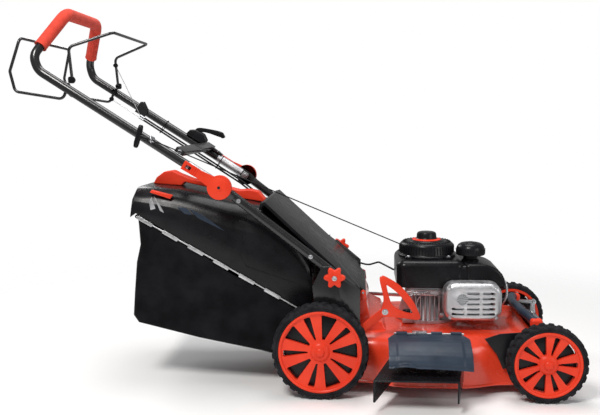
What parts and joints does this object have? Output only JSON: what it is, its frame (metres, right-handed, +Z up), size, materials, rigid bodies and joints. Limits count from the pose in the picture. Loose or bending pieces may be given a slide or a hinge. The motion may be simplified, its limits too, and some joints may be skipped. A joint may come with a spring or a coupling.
{
  "type": "walk-behind lawn mower",
  "caption": "Walk-behind petrol lawn mower: pressed deck on wheels, engine, rear grass bag, side outlet, folding handle with bails, all as separate moving parts.",
  "frame": {"origin": "on the ground, at the centre of the whole mower's footprint box", "axes": "+X points forwards, away from the handle; +Y to the operator's left; +Z up"},
  "size_m": [1.52, 0.65, 1.0399],
  "materials": {
    "red_paint": "gloss powder coat",
    "red_plastic": "moulded, semi gloss",
    "red_foam": "soft closed-cell foam",
    "black_paint": "gloss powder coat",
    "black_plastic": "moulded, semi gloss",
    "grey_plastic": "moulded, satin blue grey",
    "fabric": "woven polyester",
    "tyre": "moulded tread",
    "black_rubber": "sheathed cable, belt and cord",
    "steel": "zinc plated",
    "aluminium": "as cast",
    "guard": "pressed, silver finish"
  },
  "bodies": {
    "chassis": {"deck": "red_paint", "side_chute": "black_plastic", "front_cover": "black_plastic", "front_grip": "grey_plastic", "bracket_right": "black_paint", "bracket_left": "black_paint", "belt_cover": "black_plastic", "engine_block": "aluminium", "blower_shroud": "black_plastic", "recoil_cover": "black_plastic", "fuel_tank": "black_plastic", "muffler": "steel", "muffler_guard": "guard", "air_filter": "black_plastic", "carburettor": "aluminium", "spark_plug": "black_plastic", "gearbox": "aluminium", "drive_belt": "black_rubber", "lower_tube_right": "black_paint", "lower_tube_left": "black_paint", "brake_cable": "black_rubber", "drive_cable": "black_rubber", "starter_rope": "black_rubber"},
    "upper_handle": {"upper_tube": "black_paint", "foam_grip": "red_foam", "cross_brace": "black_paint", "control_console": "black_plastic", "rope_guide": "steel", "cable_bracket": "black_paint"},
    "cam_lever_right": {"cam_lever_right": "red_plastic"},
    "cam_lever_left": {"cam_lever_left": "red_plastic"},
    "star_knob_right": {"star_knob_right": "red_plastic"},
    "star_knob_left": {"star_knob_left": "red_plastic"},
    "rear_bail": {"rear_bail": "black_paint"},
    "front_bail": {"front_bail": "black_paint"},
    "starter_handle": {"starter_grip": "black_plastic"},
    "speed_lever": {"speed_lever": "black_plastic"},
    "rear_axle": {"rear_axle": "steel", "height_lever": "red_plastic"},
    "front_axle": {"front_axle": "steel"},
    "height_link": {"height_link": "steel"},
    "crank": {"crankshaft": "steel", "flywheel": "aluminium", "blade": "steel"},
    "gearbox_input": {"gearbox_pulley": "steel"},
    "side_flap": {"side_flap": "grey_plastic"},
    "rear_door": {"rear_door": "black_plastic"},
    "bag": {"bag_lid": "black_plastic", "bag_handle": "red_plastic", "bag_fabric": "fabric"},
    "fuel_cap": {"fuel_cap": "black_plastic"},
    "oil_cap": {"oil_cap": "black_plastic"},
    "wheel_rear_right": {"tyre_rear_right": "tyre", "wheel_rear_right": "red_plastic"},
    "wheel_rear_left": {"tyre_rear_left": "tyre", "wheel_rear_left": "red_plastic"},
    "wheel_front_right": {"tyre_front_right": "tyre", "wheel_front_right": "red_plastic"},
    "wheel_front_left": {"tyre_front_left": "tyre", "wheel_front_left": "red_plastic"}
  },
  "joints": [
    {"name": "handle_fold", "type": "hinge", "parent": "chassis", "child": "upper_handle", "pos_m": [-0.1863, 0.045, 0.555], "axis": [0, 1, 0], "range_deg": [0, 130], "deforming": ["brake_cable", "drive_cable", "starter_rope"]},
    {"name": "height_adjust", "type": "hinge", "parent": "chassis", "child": "rear_axle", "pos_m": [0.1367, 0.045, 0.14], "axis": [0, 1, 0], "range_deg": [-24, 0]},
    {"name": "front_height", "type": "hinge", "parent": "chassis", "child": "front_axle", "pos_m": [0.7187, 0.045, 0.1146], "axis": [0, 1, 0], "range_deg": [-24, 0]},
    {"name": "link_swing", "type": "hinge", "parent": "rear_axle", "child": "height_link", "pos_m": [0.1367, 0.245, 0.18], "axis": [0, 1, 0], "range_deg": [0, 24]},
    {"name": "crank_spin", "type": "hinge", "parent": "chassis", "child": "crank", "pos_m": [0.3697, 0.045, 0.15], "axis": [0, 0, 1], "continuous": true},
    {"name": "gearbox_spin", "type": "hinge", "parent": "chassis", "child": "gearbox_input", "pos_m": [0.1797, 0.045, 0.105], "axis": [0, 0, 1], "continuous": true},
    {"name": "flap_lift", "type": "hinge", "parent": "chassis", "child": "side_flap", "pos_m": [0.3577, -0.201, 0.172], "axis": [-1, 0, 0], "range_deg": [0, 60], "stiffness_Nm_per_rad": 0.4, "springref_deg": -34.38},
    {"name": "door_lift", "type": "hinge", "parent": "chassis", "child": "rear_door", "pos_m": [0.1877, 0.045, 0.258], "axis": [0, 1, 0], "range_deg": [0, 25]},
    {"name": "bag_lift", "type": "slide", "parent": "chassis", "child": "bag", "axis": [-0.9397, 0, 0.342], "range_m": [0, 0.2]},
    {"name": "cam_right_turn", "type": "hinge", "parent": "chassis", "child": "cam_lever_right", "pos_m": [-0.1863, -0.193, 0.555], "axis": [0, 1, 0], "range_deg": [0, 100]},
    {"name": "cam_left_turn", "type": "hinge", "parent": "chassis", "child": "cam_lever_left", "pos_m": [-0.1863, 0.283, 0.555], "axis": [0, 1, 0], "range_deg": [0, 100]},
    {"name": "knob_right_turn", "type": "hinge", "parent": "chassis", "child": "star_knob_right", "pos_m": [0.1137, -0.205, 0.32], "axis": [0, 1, 0], "continuous": true},
    {"name": "knob_left_turn", "type": "hinge", "parent": "chassis", "child": "star_knob_left", "pos_m": [0.1137, 0.295, 0.32], "axis": [0, 1, 0], "continuous": true},
    {"name": "rear_bail_squeeze", "type": "hinge", "parent": "upper_handle", "child": "rear_bail", "pos_m": [-0.5993, 0.045, 0.824], "axis": [0, 1, 0], "range_deg": [0, 27], "stiffness_Nm_per_rad": 1.5, "springref_deg": -34.38},
    {"name": "front_bail_squeeze", "type": "hinge", "parent": "upper_handle", "child": "front_bail", "pos_m": [-0.5853, 0.045, 0.84], "axis": [0, 1, 0], "range_deg": [-44, 0], "stiffness_Nm_per_rad": 1.5, "springref_deg": 34.38},
    {"name": "starter_pull", "type": "slide", "parent": "upper_handle", "child": "starter_handle", "axis": [-0.841, 0, 0.541], "range_m": [0, 0.5], "stiffness_N_per_m": 10, "springref_m": -0.5},
    {"name": "speed_lever_tilt", "type": "hinge", "parent": "upper_handle", "child": "speed_lever", "pos_m": [-0.33918, 0.258, 0.69257], "axis": [0, 1, 0], "range_deg": [-50, 0]},
    {"name": "fuel_cap_turn", "type": "hinge", "parent": "chassis", "child": "fuel_cap", "pos_m": [0.4897, 0.005, 0.364], "axis": [0, 0, 1], "continuous": true},
    {"name": "oil_cap_turn", "type": "hinge", "parent": "chassis", "child": "oil_cap", "pos_m": [0.3117, -0.027, 0.183], "axis": [0, 0, 1], "continuous": true},
    {"name": "wheel_rear_right_spin", "type": "hinge", "parent": "rear_axle", "child": "wheel_rear_right", "pos_m": [0.0757, -0.211, 0.127], "axis": [0, 1, 0], "continuous": true},
    {"name": "wheel_rear_left_spin", "type": "hinge", "parent": "rear_axle", "child": "wheel_rear_left", "pos_m": [0.0757, 0.301, 0.127], "axis": [0, 1, 0], "continuous": true},
    {"name": "wheel_front_right_spin", "type": "hinge", "parent": "front_axle", "child": "wheel_front_right", "pos_m": [0.6577, -0.211, 0.1016], "axis": [0, 1, 0], "continuous": true},
    {"name": "wheel_front_left_spin", "type": "hinge", "parent": "front_axle", "child": "wheel_front_left", "pos_m": [0.6577, 0.301, 0.1016], "axis": [0, 1, 0], "continuous": true}
  ],
  "couplings": [
    {"joint": "front_height", "follows": "height_adjust", "ratio": 1},
    {"joint": "link_swing", "follows": "height_adjust", "ratio": -1},
    {"joint": "gearbox_spin", "follows": "crank_spin", "ratio": 0.884}
  ]
}
